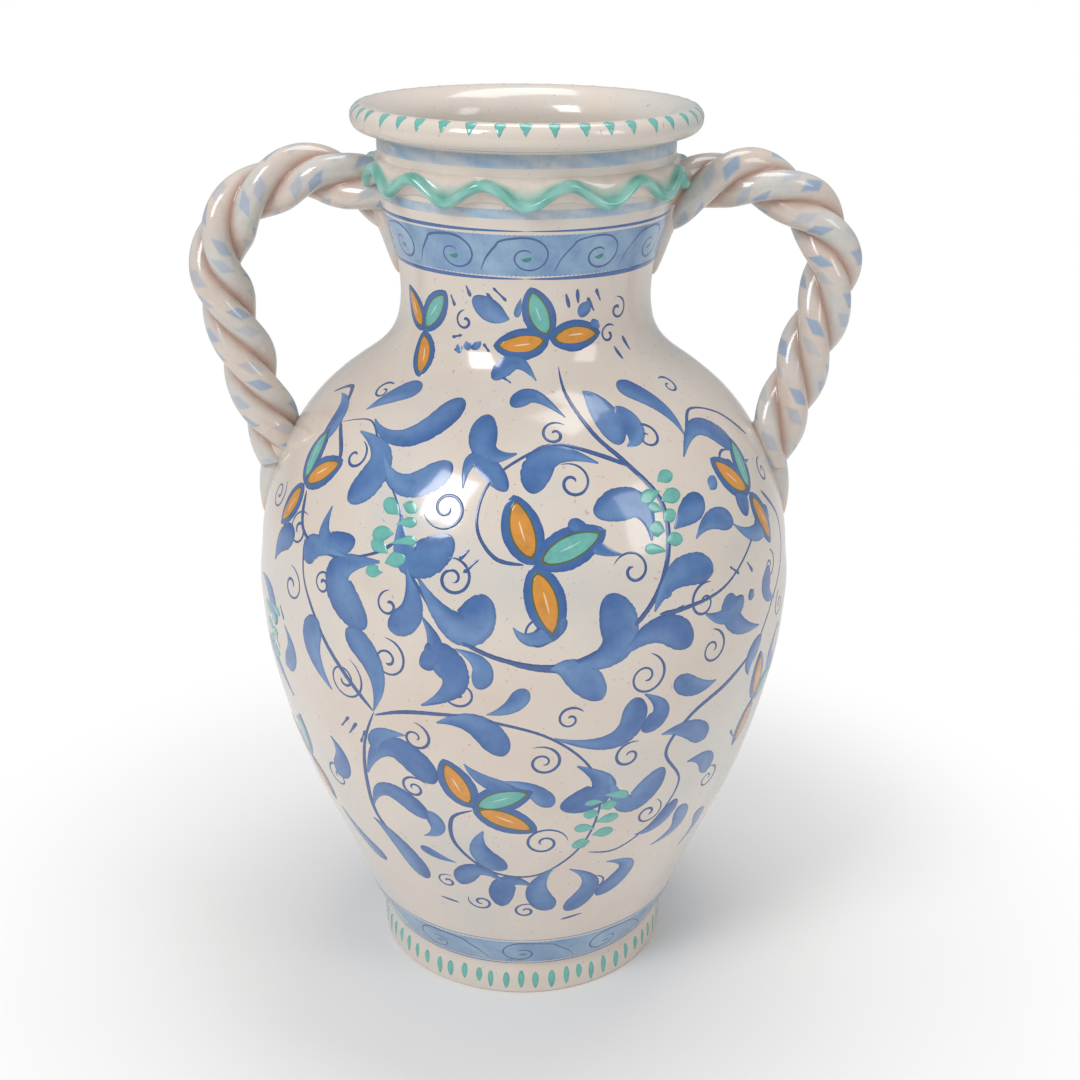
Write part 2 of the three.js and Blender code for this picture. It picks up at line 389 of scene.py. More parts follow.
def onOutline(arc):
    low, high = 0, len(arcAt) - 1
    arc = min(max(arc, 0.0), arcAt[-1])
    while high - low > 1:
        middle = (low + high) // 2
        if arcAt[middle] <= arc:
            low = middle
        else:
            high = middle
    share = (arc - arcAt[low]) / (arcAt[high] - arcAt[low])
    (r0, z0), (r1, z1) = paintLine[low], paintLine[high]
    step = math.hypot(r1 - r0, z1 - z0)
    return (r0 + (r1 - r0) * share, z0 + (z1 - z0) * share, (z1 - z0) / step, -(r1 - r0) / step)


def arcOfHeight(z):
    low, high = 0, len(paintLine) - 1
    while high - low > 1:
        middle = (low + high) // 2
        if paintLine[middle][1] <= z:
            low = middle
        else:
            high = middle
    share = (z - paintLine[low][1]) / max(1e-9, paintLine[high][1] - paintLine[low][1])
    return arcAt[low] + (arcAt[high] - arcAt[low]) * min(max(share, 0.0), 1.0)


def surfacePoint(turn, arc, lift):
    r, z, outR, outZ = onOutline(arc)
    r += outR * lift
    return (r * math.sin(turn), -r * math.cos(turn), z + outZ * lift)


def spot(azimuth, height):
    return (math.radians(azimuth), arcOfHeight(height * mm))


def shifted(place, across, up):
    r = onOutline(place[1])[0]
    return (place[0] + across * mm / r, place[1] + up * mm)


def mixed(one, other, share):
    return tuple(a + (b - a) * share for a, b in zip(one, other))


# Height of each paint film above the glaze, and how far its edges dip into it, in millimetres
film = {
    "edgeDip": 0.05,
    "streakStep": 0.05,
    "leafStrokes": 0.18,
    "vineLines": 0.12,
    "flowerOutlines": 0.22,
    "flowerLines": 0.27,
    "flowerLeaves": 0.32,
    "tealSprigs": 0.24,
    # The band wash film also holds the painted shadow under the frill
    "bandWashAndFrillShadow": 0.07,
    "bandLines": 0.14,
    "bandCentres": 0.17,
    "tealDabs": 0.16,
}


# One mesh of paint, made of ribbons along brush strokes
class PaintLayer:
    def __init__(self, name):
        self.name = name
        self.lift = film[name]
        self.points = []
        self.faces = []
        self.pigments = []

    def ribbon(self, path, widths, tones, lift=None, acrossSteps=6):
        raised = (lift if lift is not None else self.lift) * mm
        start = len(self.points)
        count = acrossSteps + 1
        for i, (turn, arc) in enumerate(path):
            before = path[max(0, i - 1)]
            after = path[min(len(path) - 1, i + 1)]
            r = onOutline(arc)[0]
            alongX, alongY = (after[0] - before[0]) * r, after[1] - before[1]
            size = math.hypot(alongX, alongY) or 1e-9
            sideX, sideY = -alongY / size, alongX / size
            half = widths[i] * mm / 2
            for k in range(count):
                s = 2 * k / acrossSteps - 1
                lifted = raised * (1 - abs(s) ** 4) - film["edgeDip"] * mm * abs(s) ** 6
                place = (turn + sideX * half * s / r, arc + sideY * half * s)
                self.points.append(surfacePoint(*place, lifted))
                self.pigments.append(tones(i / (len(path) - 1), s))
        for i in range(len(path) - 1):
            for k in range(acrossSteps):
                a = start + i * count + k
                self.faces.append((a, a + count, a + count + 1, a + 1))

    def build(self, slotName="glazed_clay"):
        mesh = bpy.data.meshes.new(self.name)
        mesh.from_pydata(self.points, [], self.faces)
        tint = mesh.color_attributes.new("pigment", "FLOAT_COLOR", "POINT")
        tint.data.foreach_set("color", [v for tone in self.pigments for v in tone])
        thing = bpy.data.objects.new(self.name, mesh)
        bpy.context.collection.objects.link(thing)
        bpy.ops.object.select_all(action="DESELECT")
        thing.select_set(True)
        bpy.context.view_layer.objects.active = thing
        bpy.ops.object.mode_set(mode="EDIT")
        bpy.ops.mesh.select_all(action="SELECT")
        bpy.ops.mesh.faces_shade_smooth()
        bpy.ops.object.mode_set(mode="OBJECT")
        outwards = sum(1 for f in mesh.polygons if f.normal.xy.dot(f.center.xy) > 0)
        if outwards * 2 < len(mesh.polygons):
            mesh.flip_normals()
        mesh.materials.append(materials["paint"])
        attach(thing, "root")
        return thing


def evenly(steps):
    return [k / steps for k in range(steps + 1)]


# Steps that crowd together towards both ends, so that round ends come out round
def endwards(steps):
    return [(1 - math.cos(math.pi * k / steps)) / 2 for k in range(steps + 1)]


def bezier(points, shares):
    path = []
    for t in shares:
        row = list(points)
        while len(row) > 1:
            row = [(a[0] + (b[0] - a[0]) * t, a[1] + (b[1] - a[1]) * t) for a, b in zip(row, row[1:])]
        path.append(row[0])
    return path


def through(points, steps):
    path = []
    for i in range(len(points) - 1):
        p0, p1 = points[max(0, i - 1)], points[i]
        p2, p3 = points[i + 1], points[min(len(points) - 1, i + 2)]
        for k in range(steps):
            t = k / steps
            path.append(tuple(
                0.5 * (2 * p1[j] + (p2[j] - p0[j]) * t + (2 * p0[j] - 5 * p1[j] + 4 * p2[j] - p3[j]) * t * t
                       + (3 * p1[j] - p0[j] - 3 * p2[j] + p3[j]) * t ** 3) for j in (0, 1)))
    path.append(points[-1])
    return path


def lengthOf(path):
    total = 0.0
    for here, there in zip(path, path[1:]):
        r = onOutline(here[1])[0]
        total += math.hypot((there[0] - here[0]) * r, there[1] - here[1])
    return total / mm


# Watery brush colour: thin in the middle of a stroke, pooled along its edge and at its end
def watery(pale, mid, deep, depth):
    drift = random.uniform(-0.2, 0.25)
    phase = random.uniform(0, 6)
    side = random.choice((-1, 1))

    def tone(along, across):
        edge = max(0.0, (abs(across) - 0.55) / 0.45) ** 1.5
        pool = max(0.0, (along - 0.70) / 0.30) ** 2 + max(0.0, (0.16 - along) / 0.16) ** 2
        cloud = 0.18 * math.sin(7 * along + 3 * across + phase)
        share = 0.34 + drift + cloud + 0.45 * along + 0.3 * side * across
        wet = mixed(pale, mid, min(1.0, max(0.0, share)))
        return mixed(wet, deep, min(1.0, depth * (0.7 * edge + 0.5 * pool)))
    return tone


def plain(one, other):
    return lambda along, across: mixed(one, other, min(1.0, abs(across) ** 3))


def leafStroke(layer, tail, bend, head, width, depth=0.75, colours=("bluePale", "blue", "blueDeep")):
    control = tuple(2 * b - (t + h) / 2 for t, b, h in zip(tail, bend, head))
    shares = endwards(32)
    path = bezier([tail, control, head], shares)
    size = max(lengthOf(path), width * 0.8)
    roundFrom = max(0.3, 1 - width * 0.62 / size)
    widths = []
    for t in shares:
        if t < roundFrom:
            widths.append(width * (0.07 + 0.93 * math.sin(math.pi / 2 * t / roundFrom) ** 1.05))
        else:
            widths.append(width * math.sqrt(max(0.0, 1 - ((t - roundFrom) / (1 - roundFrom)) ** 2)))
    layer.ribbon(path, widths, watery(*(glazes[c] for c in colours), depth))


def lineStroke(layer, path, width, swell=0.35, colours=("line", "lineDeep")):
    count = len(path) - 1
    widths = []
    for k in range(count + 1):
        t = k / count
        ends = min(1.0, t * 9, (1 - t) * 9) ** 0.5
        wobble = 1 + swell * math.sin(5.1 * t + len(layer.points) * 0.37)
        widths.append(width * ends * wobble)
    layer.ribbon(path, widths, plain(glazes[colours[0]], glazes[colours[1]]), acrossSteps=3)


def spiralPath(centre, radius, turns, start, hand, steps=54):
    path = []
    for k in range(steps + 1):
        t = k / steps
        angle = math.radians(start) + hand * 2 * math.pi * turns * t
        reach = radius * (1 - 0.86 * t ** 0.8)
        path.append(shifted(centre, reach * math.cos(angle), reach * math.sin(angle)))
    return path


def spiralStroke(layer, centre, radius, turns, start, hand, width=1.7):
    path = spiralPath(centre, radius, turns, start, hand)
    lineStroke(layer, path, width, 0.2)


# Flower of three pointed leaves, each with a wide blue outline, an olive line and a pale streak
def flowerLeaf(layers, root, angle, length, width, kind):
    outline, fill, streak = layers
    direction = (math.cos(math.radians(angle)), math.sin(math.radians(angle)))
    side = (-direction[1], direction[0])
    bow = 0.6

    def along(share, off=0.0):
        return shifted(root, direction[0] * length * share + side[0] * off,
                       direction[1] * length * share + side[1] * off)

    def lens(scale):
        return lambda t: width * scale * (math.sin(math.pi * t ** 0.9) ** 0.64)

    shapes = (
        (outline, 0.0, 1.0, 1.0, watery(glazes["blue"], glazes["blue"], glazes["blueDeep"], 0.5)),
        (fill, 0.08, 0.92, 0.79, plain(glazes["olive"], glazes["olive"])),
    )
    for layer, begin, end, scale, tone in shapes:
        shares = evenly(22)
        path = [along(begin + (end - begin) * t, bow * math.sin(math.pi * t)) for t in shares]
        layer.ribbon(path, [lens(scale)(t) for t in shares], tone)
    if kind == "orange":
        tone = watery(glazes["orange"], glazes["orange"], glazes["orangeDeep"], 0.7)
        glow = glazes["pale"]
    else:
        tone = watery(glazes["teal"], glazes["teal"], glazes["tealDeep"], 0.6)
        glow = glazes["palerTeal"]
    shares = evenly(20)
    path = [along(0.12 + 0.76 * t, bow * math.sin(math.pi * t)) for t in shares]
    streak.ribbon(path, [lens(0.68)(t) for t in shares], tone)
    path = [along(0.34 + 0.3 * k / 10, 0.9) for k in range(11)]
    streak.ribbon(path, [1.5 * math.sin(math.pi * k / 10) ** 0.6 for k in range(11)],
                  plain(glow, mixed(glow, tone(0.5, 0), 0.5)), streak.lift + film["streakStep"])


# The painted scrolls: places are (azimuth in degrees, height in millimetres), widths in millimetres.
# A leaf is tail, bend, head and width, a spiral is centre, radius, turns, start angle and hand.
scrolls = {
    "leafScale": 1.32,
    "flowerLength": 1.06,
    "flowerWidth": 1.22,
    "vineWidth": 2.6,
    "dashWidth": 1.9,
    "sprigLeaves": 8,
    "leaves": [
        ((-7, 401), (-14, 404), (-23, 411), 10), ((-52, 352), (-46, 360), (-38, 366), 10),
        ((-46, 350), (-32, 347), (-21, 364), 12), ((-37, 339), (-28, 328), (-18, 340), 12),
        ((-48, 344), (-37, 336), (-42, 315), 14), ((-2, 345), (-10, 346), (-11, 359), 12),
        ((12, 358), (3, 366), (-4, 362), 8), ((18, 340), (6, 344), (2, 329), 13),
        ((20, 367), (24, 360), (25, 346), 13), ((27, 345), (31, 350), (29, 360), 11),
        ((46, 344), (44, 358), (34, 368), 10), ((42, 336), (53, 345), (62, 330), 11),
        ((27, 304), (25, 321), (15, 319), 14), ((8, 247), (18, 256), (16, 282), 17),
        ((18, 248), (27, 260), (34, 247), 14), ((26, 270), (32, 286), (41, 282), 14),
        ((33, 307), (38, 313), (43, 317), 12), ((-27, 315), (-23, 296), (-15, 309), 16),
        ((-30, 292), (-40, 280), (-32, 257), 17), ((-46, 310), (-45, 294), (-37, 299), 11),
        ((-38, 290), (-48, 289), (-48, 280), 12), ((-64, 268), (-61, 282), (-56, 288), 12),
        ((-21, 288), (-12, 266), (-8, 284), 17), ((-24, 292), (-22, 272), (-27, 261), 12),
        ((-20, 221), (-13, 238), (-19, 255), 14), ((-13, 255), (-8, 247), (-9, 235), 9),
        ((-7, 220), (-2, 226), (0, 236), 8), ((5, 246), (10, 243), (15, 227), 14),
        ((6, 206), (19, 202), (22, 225), 12), ((-17, 212), (-9, 213), (-4, 195), 13),
        ((-31, 211), (-30, 236), (-37, 253), 12), ((-42, 214), (-47, 234), (-45, 252), 13),
        ((-36, 166), (-28, 190), (-19, 171), 15), ((-37, 142), (-31, 158), (-22, 144), 11),
        ((11, 187), (17, 170), (8, 159), 15), ((18, 178), (24, 155), (31, 175), 14),
        ((42, 221), (36, 222), (31, 231), 10), ((54, 212), (54, 222), (58, 232), 10),
        ((56, 240), (47, 250), (46, 267), 12), ((64, 248), (60, 256), (62, 268), 10),
        ((29, 198), (36, 196), (42, 184), 11), ((-9, 141), (-10, 124), (-4, 111), 12),
        ((-5, 99), (-12, 108), (-17, 93), 11), ((3, 95), (-4, 99), (-6, 77), 12),
        ((8, 112), (4, 92), (9, 74), 12), ((12, 109), (19, 92), (13, 71), 11),
        ((22, 110), (29, 100), (22, 80), 11), ((-39, 130), (-33, 116), (-28, 90), 12),
        ((-17, 112), (-22, 115), (-26, 120), 6), ((35, 113), (42, 122), (40, 138), 10),
        ((66, 322), (58, 318), (56, 300), 10), ((50, 300), (58, 290), (66, 298), 10),
        ((-70, 352), (-62, 348), (-60, 334), 9), ((-74, 250), (-66, 246), (-64, 230), 11),
        ((70, 226), (66, 210), (72, 198), 10), ((-60, 190), (-66, 204), (-72, 214), 10),
        ((-54, 120), (-50, 104), (-42, 92), 10), ((50, 96), (54, 110), (50, 122), 9),
        ((-14, 330), (-12, 342), (-4, 330), 9), ((4, 372), (-4, 380), (-12, 372), 8),
        ((20, 300), (14, 306), (10, 318), 8), ((-2, 268), (2, 262), (8, 272), 8),
        ((-20, 270), (-17, 254), (-20, 244), 9), ((38, 300), (44, 306), (50, 300), 10),
        ((38, 262), (44, 256), (50, 262), 9), ((24, 226), (28, 214), (24, 204), 10),
        ((-4, 178), (2, 172), (6, 160), 9), ((-24, 200), (-30, 196), (-32, 184), 9),
        ((-12, 188), (-8, 178), (-2, 172), 8), ((38, 172), (44, 168), (46, 156), 10),
        ((-46, 180), (-44, 166), (-48, 152), 11), ((28, 128), (34, 132), (38, 146), 9),
        ((-24, 130), (-20, 138), (-22, 150), 8), ((-58, 236), (-56, 222), (-60, 210), 10),
    ],
    "vines": [
        [(13, 378), (14, 366), (19, 351), (25, 339), (31, 322), (31, 303), (27, 280), (20, 262),
         (8, 248), (-4, 251), (-14, 263), (-20, 281), (-26, 299), (-27, 314), (-31, 326), (-38, 339),
         (-47, 349), (-58, 344)],
        [(27, 336), (19, 343), (9, 348), (0, 344), (-8, 333), (-10, 315), (-6, 301), (0, 298)],
        [(-31, 208), (-25, 214), (-18, 217), (-9, 217), (4, 208), (13, 188), (17, 162), (14, 128), (4, 106),
         (-8, 108), (-16, 128), (-16, 148), (-11, 156)],
        [(-31, 210), (-38, 228), (-44, 246), (-50, 268), (-52, 290)],
        [(-31, 210), (-35, 186), (-37, 160), (-37, 134), (-31, 112)],
        [(62, 303), (55, 288), (44, 272), (33, 268), (27, 268)],
        [(56, 228), (46, 216), (36, 205), (31, 185), (37, 160), (33, 136), (24, 120), (16, 122)],
        [(-57, 311), (-53, 293), (-42, 288), (-32, 295), (-27, 303)],
        [(-58, 344), (-50, 332), (-52, 318)],
        [(56, 228), (62, 246), (70, 262), (72, 286), (66, 306)],
        [(-4, 251), (4, 246), (14, 246), (24, 262), (33, 270)],
        [(-58, 344), (-68, 356), (-76, 350)],
        [(47, 344), (55, 352), (66, 346), (74, 330)],
    ],
    "spirals": [
        ((-17, 321), 12, 1.5, 200, 1), ((-14, 290), 11, 1.6, 120, -1), ((-45, 334), 9, 1.1, 90, -1),
        ((8, 352), 8, 1.3, 40, 1), ((11, 333), 11, 1.3, 120, -1), ((22, 292), 11, 1.2, 160, -1),
        ((3, 264), 10, 1.6, 20, 1), ((-27, 272), 8, 1.1, 90, 1), ((-55, 292), 11, 1.5, 60, 1),
        ((-55, 262), 11, 1.3, 100, -1), ((-44, 272), 8, 1.5, 0, 1), ((-38, 224), 14, 1.7, 70, -1),
        ((-27, 243), 12, 1.6, 100, -1), ((-12, 231), 9, 1.3, 200, 1), ((9, 217), 8, 1.3, 30, 1),
        ((24, 236), 13, 1.5, 80, -1), ((40, 241), 11, 1.4, 90, -1), ((38, 268), 11, 1.3, 60, 1),
        ((56, 326), 9, 1.3, 40, 1), ((34, 347), 10, 1.4, 180, -1), ((-22, 200), 10, 1.4, 90, -1),
        ((4, 191), 11, 1.6, 120, -1), ((22, 189), 10, 1.3, 60, 1), ((-24, 165), 9, 1.5, 30, 1),
        ((5, 133), 13, 1.6, 0, 1), ((-12, 79), 8, 1.4, 150, 1), ((1, 73), 8, 1.4, 30, 1),
        ((20, 92), 8, 1.4, 120, -1), ((30, 143), 10, 1.4, 70, -1), ((-21, 93), 7, 1.3, 60, 1),
        ((-27, 398), 6, 1.1, 90, 1), ((44, 402), 7, 1.2, 100, -1), ((38, 390), 6, 1.1, 40, 1),
        ((68, 240), 9, 1.4, 100, 1), ((-70, 300), 10, 1.5, 60, -1), ((-66, 214), 9, 1.3, 20, 1),
        ((62, 268), 9, 1.3, 80, -1), ((-48, 150), 10, 1.4, 60, 1), ((48, 150), 9, 1.4, 100, -1),
        ((-52, 360), 7, 1.2, 60, 1), ((56, 362), 7, 1.2, 120, -1), ((72, 312), 8, 1.3, 60, 1),
    ],
    "dashes": [
        ((-10, 374), (-5, 371)), ((-8, 379), (-3, 378)), ((-33, 389), (-28, 391)), ((-31, 383), (-27, 385)),
        ((-34, 411), (-32, 405)), ((-26, 417), (-24, 411)), ((17, 414), (19, 406)), ((22, 416), (23, 408)),
        ((27, 411), (31, 403)), ((31, 415), (34, 408)), ((-17, 414), (-10, 405)), ((-14, 417), (-8, 410)),
        ((-9, 300), (-12, 293)), ((-11, 304), (-13, 299)), ((-8, 252), (-7, 246)), ((40, 384), (43, 377)),
        ((46, 388), (49, 380)), ((-36, 199), (-39, 189)), ((-38, 201), (-41, 192)), ((-34, 196), (-36, 186)),
        ((46, 281), (49, 275)), ((52, 279), (54, 272)), ((-60, 246), (-58, 239)), ((-25, 77), (-19, 75)),
        ((12, 63), (19, 66)), ((52, 178), (55, 170)), ((-64, 172), (-60, 164)), ((-18, 388), (-15, 384)),
    ],
    "blobs": [
        ((-22, 388), (-20, 385), 7), ((-26, 388), (-24, 384), 5), ((28, 409), (24, 401), 8),
        ((33, 398), (29, 394), 7), ((-2, 412), (-4, 402), 4), ((30, 280), (28, 276), 6),
        ((54, 262), (52, 258), 7), ((46, 319), (49, 324), 8), ((-30, 386), (-28, 382), 4),
    ],
    "flowers": [
        ((10, 391), ((110, 27, 15, "teal"), (188, 27, 14, "orange"), (2, 27, 14, "orange"))),
        ((-50, 389), ((55, 27, 14, "teal"), (292, 25, 13, "orange"), (128, 25, 12, "orange"))),
        ((2, 298), ((108, 34, 18, "orange"), (22, 38, 18, "teal"), (284, 37, 18, "orange"))),
        ((-59, 313), ((96, 31, 13, "teal"), (38, 31, 15, "orange"), (248, 27, 14, "orange"))),
        ((60, 309), ((132, 33, 16, "orange"), (286, 31, 14, "orange"), (78, 30, 13, "teal"))),
        ((-11, 158), ((112, 33, 17, "orange"), (24, 33, 17, "teal"), (335, 36, 17, "orange"))),
        ((60, 190), ((96, 30, 14, "orange"), (20, 28, 14, "teal"), (250, 28, 14, "orange"))),
        ((-62, 148), ((80, 30, 14, "teal"), (150, 28, 14, "orange"), (300, 28, 14, "orange"))),
    ],
    "sprigs": [(-28, 306), (31, 316), (17, 150), (-66, 226)],
}


def paintScrolls():
    leaves = PaintLayer("leafStrokes")
    lines = PaintLayer("vineLines")
    outlines = PaintLayer("flowerOutlines")
    fills = PaintLayer("flowerLines")
    streaks = PaintLayer("flowerLeaves")
    sprigs = PaintLayer("tealSprigs")
    for mirror, shift in ((1, 0), (-1, 180)):
        def at(place):
            return spot(shift + mirror * place[0], place[1])
        for tail, bend, head, width in scrolls["leaves"]:
            leafStroke(leaves, at(tail), at(bend), at(head), width * scrolls["leafScale"])
        for vine in scrolls["vines"]:
            lineStroke(lines, through([at(p) for p in vine], 9), scrolls["vineWidth"])
        for centre, radius, turns, start, hand in scrolls["spirals"]:
            begin = start if mirror == 1 else 180 - start
            spiralStroke(lines, at(centre), radius, turns, begin, hand * mirror)
        for tail, head in scrolls["dashes"]:
            lineStroke(lines, bezier([at(tail), at(head)], evenly(8)), scrolls["dashWidth"])
        for tail, head, width in scrolls["blobs"]:
            middle = ((tail[0] + head[0]) / 2, (tail[1] + head[1]) / 2)
            leafStroke(leaves, at(tail), at(middle), at(head), width)
        for root, leafList in scrolls["flowers"]:
            for angle, length, width, kind in leafList:
                turned = angle if mirror == 1 else 180 - angle
                flowerLeaf((outlines, fills, streaks), at(root), turned,
                           length * scrolls["flowerLength"], width * scrolls["flowerWidth"], kind)
        for place in scrolls["sprigs"]:
            root = at(place)
            for k in range(scrolls["sprigLeaves"]):
                climb = 5 * k - 20
                reach = (11 if k % 2 else -9) + random.uniform(-4, 3)
                tail = shifted(root, climb * 0.12 * mirror, climb)
                head = shifted(root, climb * 0.12 * mirror + reach, climb + random.uniform(-4, 5))
                middle = ((tail[0] + head[0]) / 2, (tail[1] + head[1]) / 2 + 0.8 * mm)
                leafStroke(sprigs, tail, middle, head, random.uniform(5.5, 9.0), 0.9,
                           ("teal", "teal", "tealDeep"))
    for layer in (leaves, lines, outlines, fills, streaks, sprigs):
        layer.build()


# Light blue bands with a running scroll between two blue lines, a pale blue wash on the neck above the frill,
# and a blue wash painted as the frill's shadow on the neck
bands = {
    "neck": {"low": 422, "high": 447, "waves": 12, "lines": (3.0, 2.2), "hand": 1,
             "colours": ("blue", "line")},
    "foot": {"low": 21, "high": 45, "waves": 11, "lines": (2.6, 1.6), "hand": -1,
             "colours": ("washDeep", "line")},
    # Extra washes: 476.5 to 484 mm is a pale blue wash on the neck above the frill; 452.5 to 458 mm is painted
    # shadow, a blue-grey sheet where the frill shades the neck
    "washAndFrillShadow": [(476.5, 484), (452.5, 458)],
    "ringSteps": 180,
    "curlTurns": 1.25,
    "curlStart": 128,
    "curlSteps": 40,
}


def ringPath(height):
    return [spot(360 * t, height) for t in evenly(bands["ringSteps"])]


def washBand(layer, low, high, one, other):
    middle = (arcOfHeight(low * mm) + arcOfHeight(high * mm)) / 2
    wide = (arcOfHeight(high * mm) - arcOfHeight(low * mm)) / mm
    path = [(math.radians(360 * k / bands["ringSteps"]), middle) for k in range(bands["ringSteps"] + 1)]

    def tone(along, across):
        cloud = 0.5 + 0.28 * math.sin(along * 57) + 0.22 * math.sin(along * 131 + across * 3)
        return mixed(one, other, min(1.0, max(0.0, cloud * 0.75 + 0.3 * abs(across) ** 4)))
    layer.ribbon(path, [wide] * len(path), tone, acrossSteps=10)


def paintBands():
    # The wash layer holds the band washes and the painted shadow under the frill
    wash = PaintLayer("bandWashAndFrillShadow")
    lines = PaintLayer("bandLines")
    centres = PaintLayer("bandCentres")
    for name in ("neck", "foot"):
        band = bands[name]
        washBand(wash, band["low"], band["high"], glazes["wash"], glazes["washDeep"])
        for height, width in zip((band["low"], band["high"]), band["lines"]):
            lineStroke(lines, ringPath(height), width, 0.12, band["colours"])
        tall = (arcOfHeight(band["high"] * mm) - arcOfHeight(band["low"] * mm)) / mm
        middle = (band["low"] + band["high"]) / 2
        step = 360 / band["waves"]
        for k in range(band["waves"]):
            centre = spot(step * k, middle - 1)
            wide = onOutline(centre[1])[0] / mm * math.radians(step)
            hand = band["hand"]
            crest = [shifted(centre, hand * wide * (-0.62 + 0.30 * t), tall * (-0.32 + 0.66 * t ** 0.7))
                     for t in evenly(4)]
            curl = []
            for t in evenly(bands["curlSteps"] - 1):
                angle = math.radians(bands["curlStart"]) - 2 * math.pi * bands["curlTurns"] * t
                reach = 0.44 * tall * (1 - 0.78 * t)
                across = hand * (reach * 1.15 * math.cos(angle) + 0.5)
                curl.append(shifted(centre, across, reach * math.sin(angle)))
            lineStroke(lines, through(crest + curl[2::3], 4), 1.7, 0.2)
            dab = [shifted(centre, *place) for place in ((-2.4, -1.2), (0, -1.6), (2.6, -0.4))]
            leafStroke(centres, *dab, 3.0, 0.9, ("tealDeep", "tealDeep", "lineDeep"))
    # The pale wash above the frill, and the painted shadow under the frill
    for low, high in bands["washAndFrillShadow"]:
        washBand(wash, low, high, glazes["wash"], glazes["creamCool"])
    for layer in (wash, lines, centres):
        layer.build()


# Teal dabs round the lip and the foot
dabs = {
    "jitter": 0.012,
    "lip": {"count": 42, "length": (7.5, 9.0), "width": (6.6, 8.0), "belowRim": 4.5, "above": 3.5},
    "foot": {"count": 62, "length": (9.0, 12.5), "width": (3.6, 4.8), "top": (14.5, 16.0)},
}


def paintDabs():
    layer = PaintLayer("tealDabs")
    jitter = dabs["jitter"]
    lip, foot = dabs["lip"], dabs["foot"]
    crestArc = arcAt[-1] - lip["belowRim"] * mm
    for k in range(lip["count"]):
        turn = 2 * math.pi * k / lip["count"] + random.uniform(-jitter, jitter)
        size = random.uniform(*lip["length"])
        path = [(turn, crestArc + (lip["above"] - size * t) * mm) for t in evenly(10)]
        widths = []
        for t in evenly(10):
            rounded = math.sqrt(max(0, 1 - (1 - min(1, 5 * t)) ** 2))
            widths.append(random.uniform(*lip["width"]) * rounded * (1 - t ** 1.6))
        layer.ribbon(path, widths, watery(glazes["teal"], glazes["teal"], glazes["tealDeep"], 0.8))
    for k in range(foot["count"]):
        turn = 2 * math.pi * k / foot["count"] + random.uniform(-jitter, jitter)
        size = random.uniform(*foot["length"])
        top = arcOfHeight(random.uniform(*foot["top"]) * mm)
        path = [(turn, top - size * mm * t) for t in evenly(12)]
        wide = random.uniform(*foot["width"])
        widths = [wide * abs(math.sin(math.pi * t ** 0.8)) ** 0.6 for t in evenly(12)]
        layer.ribbon(path, widths, watery(glazes["teal"], glazes["teal"], glazes["tealDeep"], 0.9))
    layer.build()


paintScrolls()
paintBands()
paintDabs()
print("decoration painted")


# Frill: a wavy strip luted round the collar, turquoise along its edge
frill = {
    "waves": 13,
    "waveHeight": 0.0048,
    "edge": 0.0030,
    "steps": 13 * 28,
    "arcSteps": 10,
    "overlap": 0.001,
    "rootAbove": 0.0085,
    "rootBelow": 0.0055,
    "wander": 0.0010,
    "top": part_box("frill_band")[1][2],
    "bottom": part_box("frill_band")[0][2],
    "reach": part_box("frill_band")[1][0],
}


def meshPiece(name, points, faces, tones, material, nodes):
    mesh = bpy.data.meshes.new(name)
    mesh.from_pydata(points, [], faces)
    tint = mesh.color_attributes.new("pigment", "FLOAT_COLOR", "POINT")
    tint.data.foreach_set("color", [v for tone in tones for v in tone])
    thing = bpy.data.objects.new(name, mesh)
    bpy.context.collection.objects.link(thing)
    bpy.ops.object.select_all(action="DESELECT")
    thing.select_set(True)
    bpy.context.view_layer.objects.active = thing
    bpy.ops.object.mode_set(mode="EDIT")
    bpy.ops.mesh.select_all(action="SELECT")
    bpy.ops.mesh.normals_make_consistent(inside=False)
    bpy.ops.mesh.faces_shade_smooth()
    bpy.ops.object.mode_set(mode="OBJECT")
    mesh.materials.append(material)
    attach(thing, "root")
    if nodes:
        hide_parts(*nodes)
    return thing


def makeFrill():
    root = collarRadius - frill["overlap"]
    reach = frill["reach"] - 0.0004
    middle = (frill["top"] + frill["bottom"]) / 2
    edge = frill["edge"]
    high, low = middle + frill["rootAbove"], middle - frill["rootBelow"]
    arcSteps = frill["arcSteps"]
    count = arcSteps + 6
    points, faces, tones = [], [], []
    for i in range(frill["steps"]):
        turn = 2 * math.pi * i / frill["steps"]
        wave = frill["waveHeight"] * math.sin(frill["waves"] * turn + 0.35 * math.sin(turn * 2))
        pull = frill["wander"] * math.sin(frill["waves"] * turn + 1.9)
        centre = middle + wave
        section = [(root, low), (root + 0.002, low + 0.4 * (centre - edge - low))]
        for k in range(arcSteps + 1):
            angle = -math.pi * 0.62 + math.pi * 1.16 * k / arcSteps
            section.append((reach - edge + pull - 0.001 + (edge + 0.0008) * math.cos(angle),
                            centre + edge * math.sin(angle)))
        section.append((root + 0.0035, 0.45 * (centre + edge) + 0.55 * high))
        section += [(root + 0.0012, high), (root, high)]
        for k, (r, z) in enumerate(section):
            points.append((r * math.cos(turn), r * math.sin(turn), z))
            painted = 3 <= k <= 2 + arcSteps
            fade = 0.25 + 0.25 * math.sin(turn * 31) if painted else 0
            deep = mixed(glazes["turquoise"], glazes["tealDeep"], 0.25 + 0.2 * math.sin(turn * 47 + k))
            tones.append(mixed(deep, glazes["palerTeal"], fade) if painted else glazes["cream"])
    for i in range(frill["steps"]):
        for k in range(count):
            a, b = i * count, ((i + 1) % frill["steps"]) * count
            n = (k + 1) % count
            faces.append((a + k, b + k, b + n, a + n))
    meshPiece("frillStrip", points, faces, tones, materials["strip"], ["frill_band"])


makeFrill()
print("frill made")


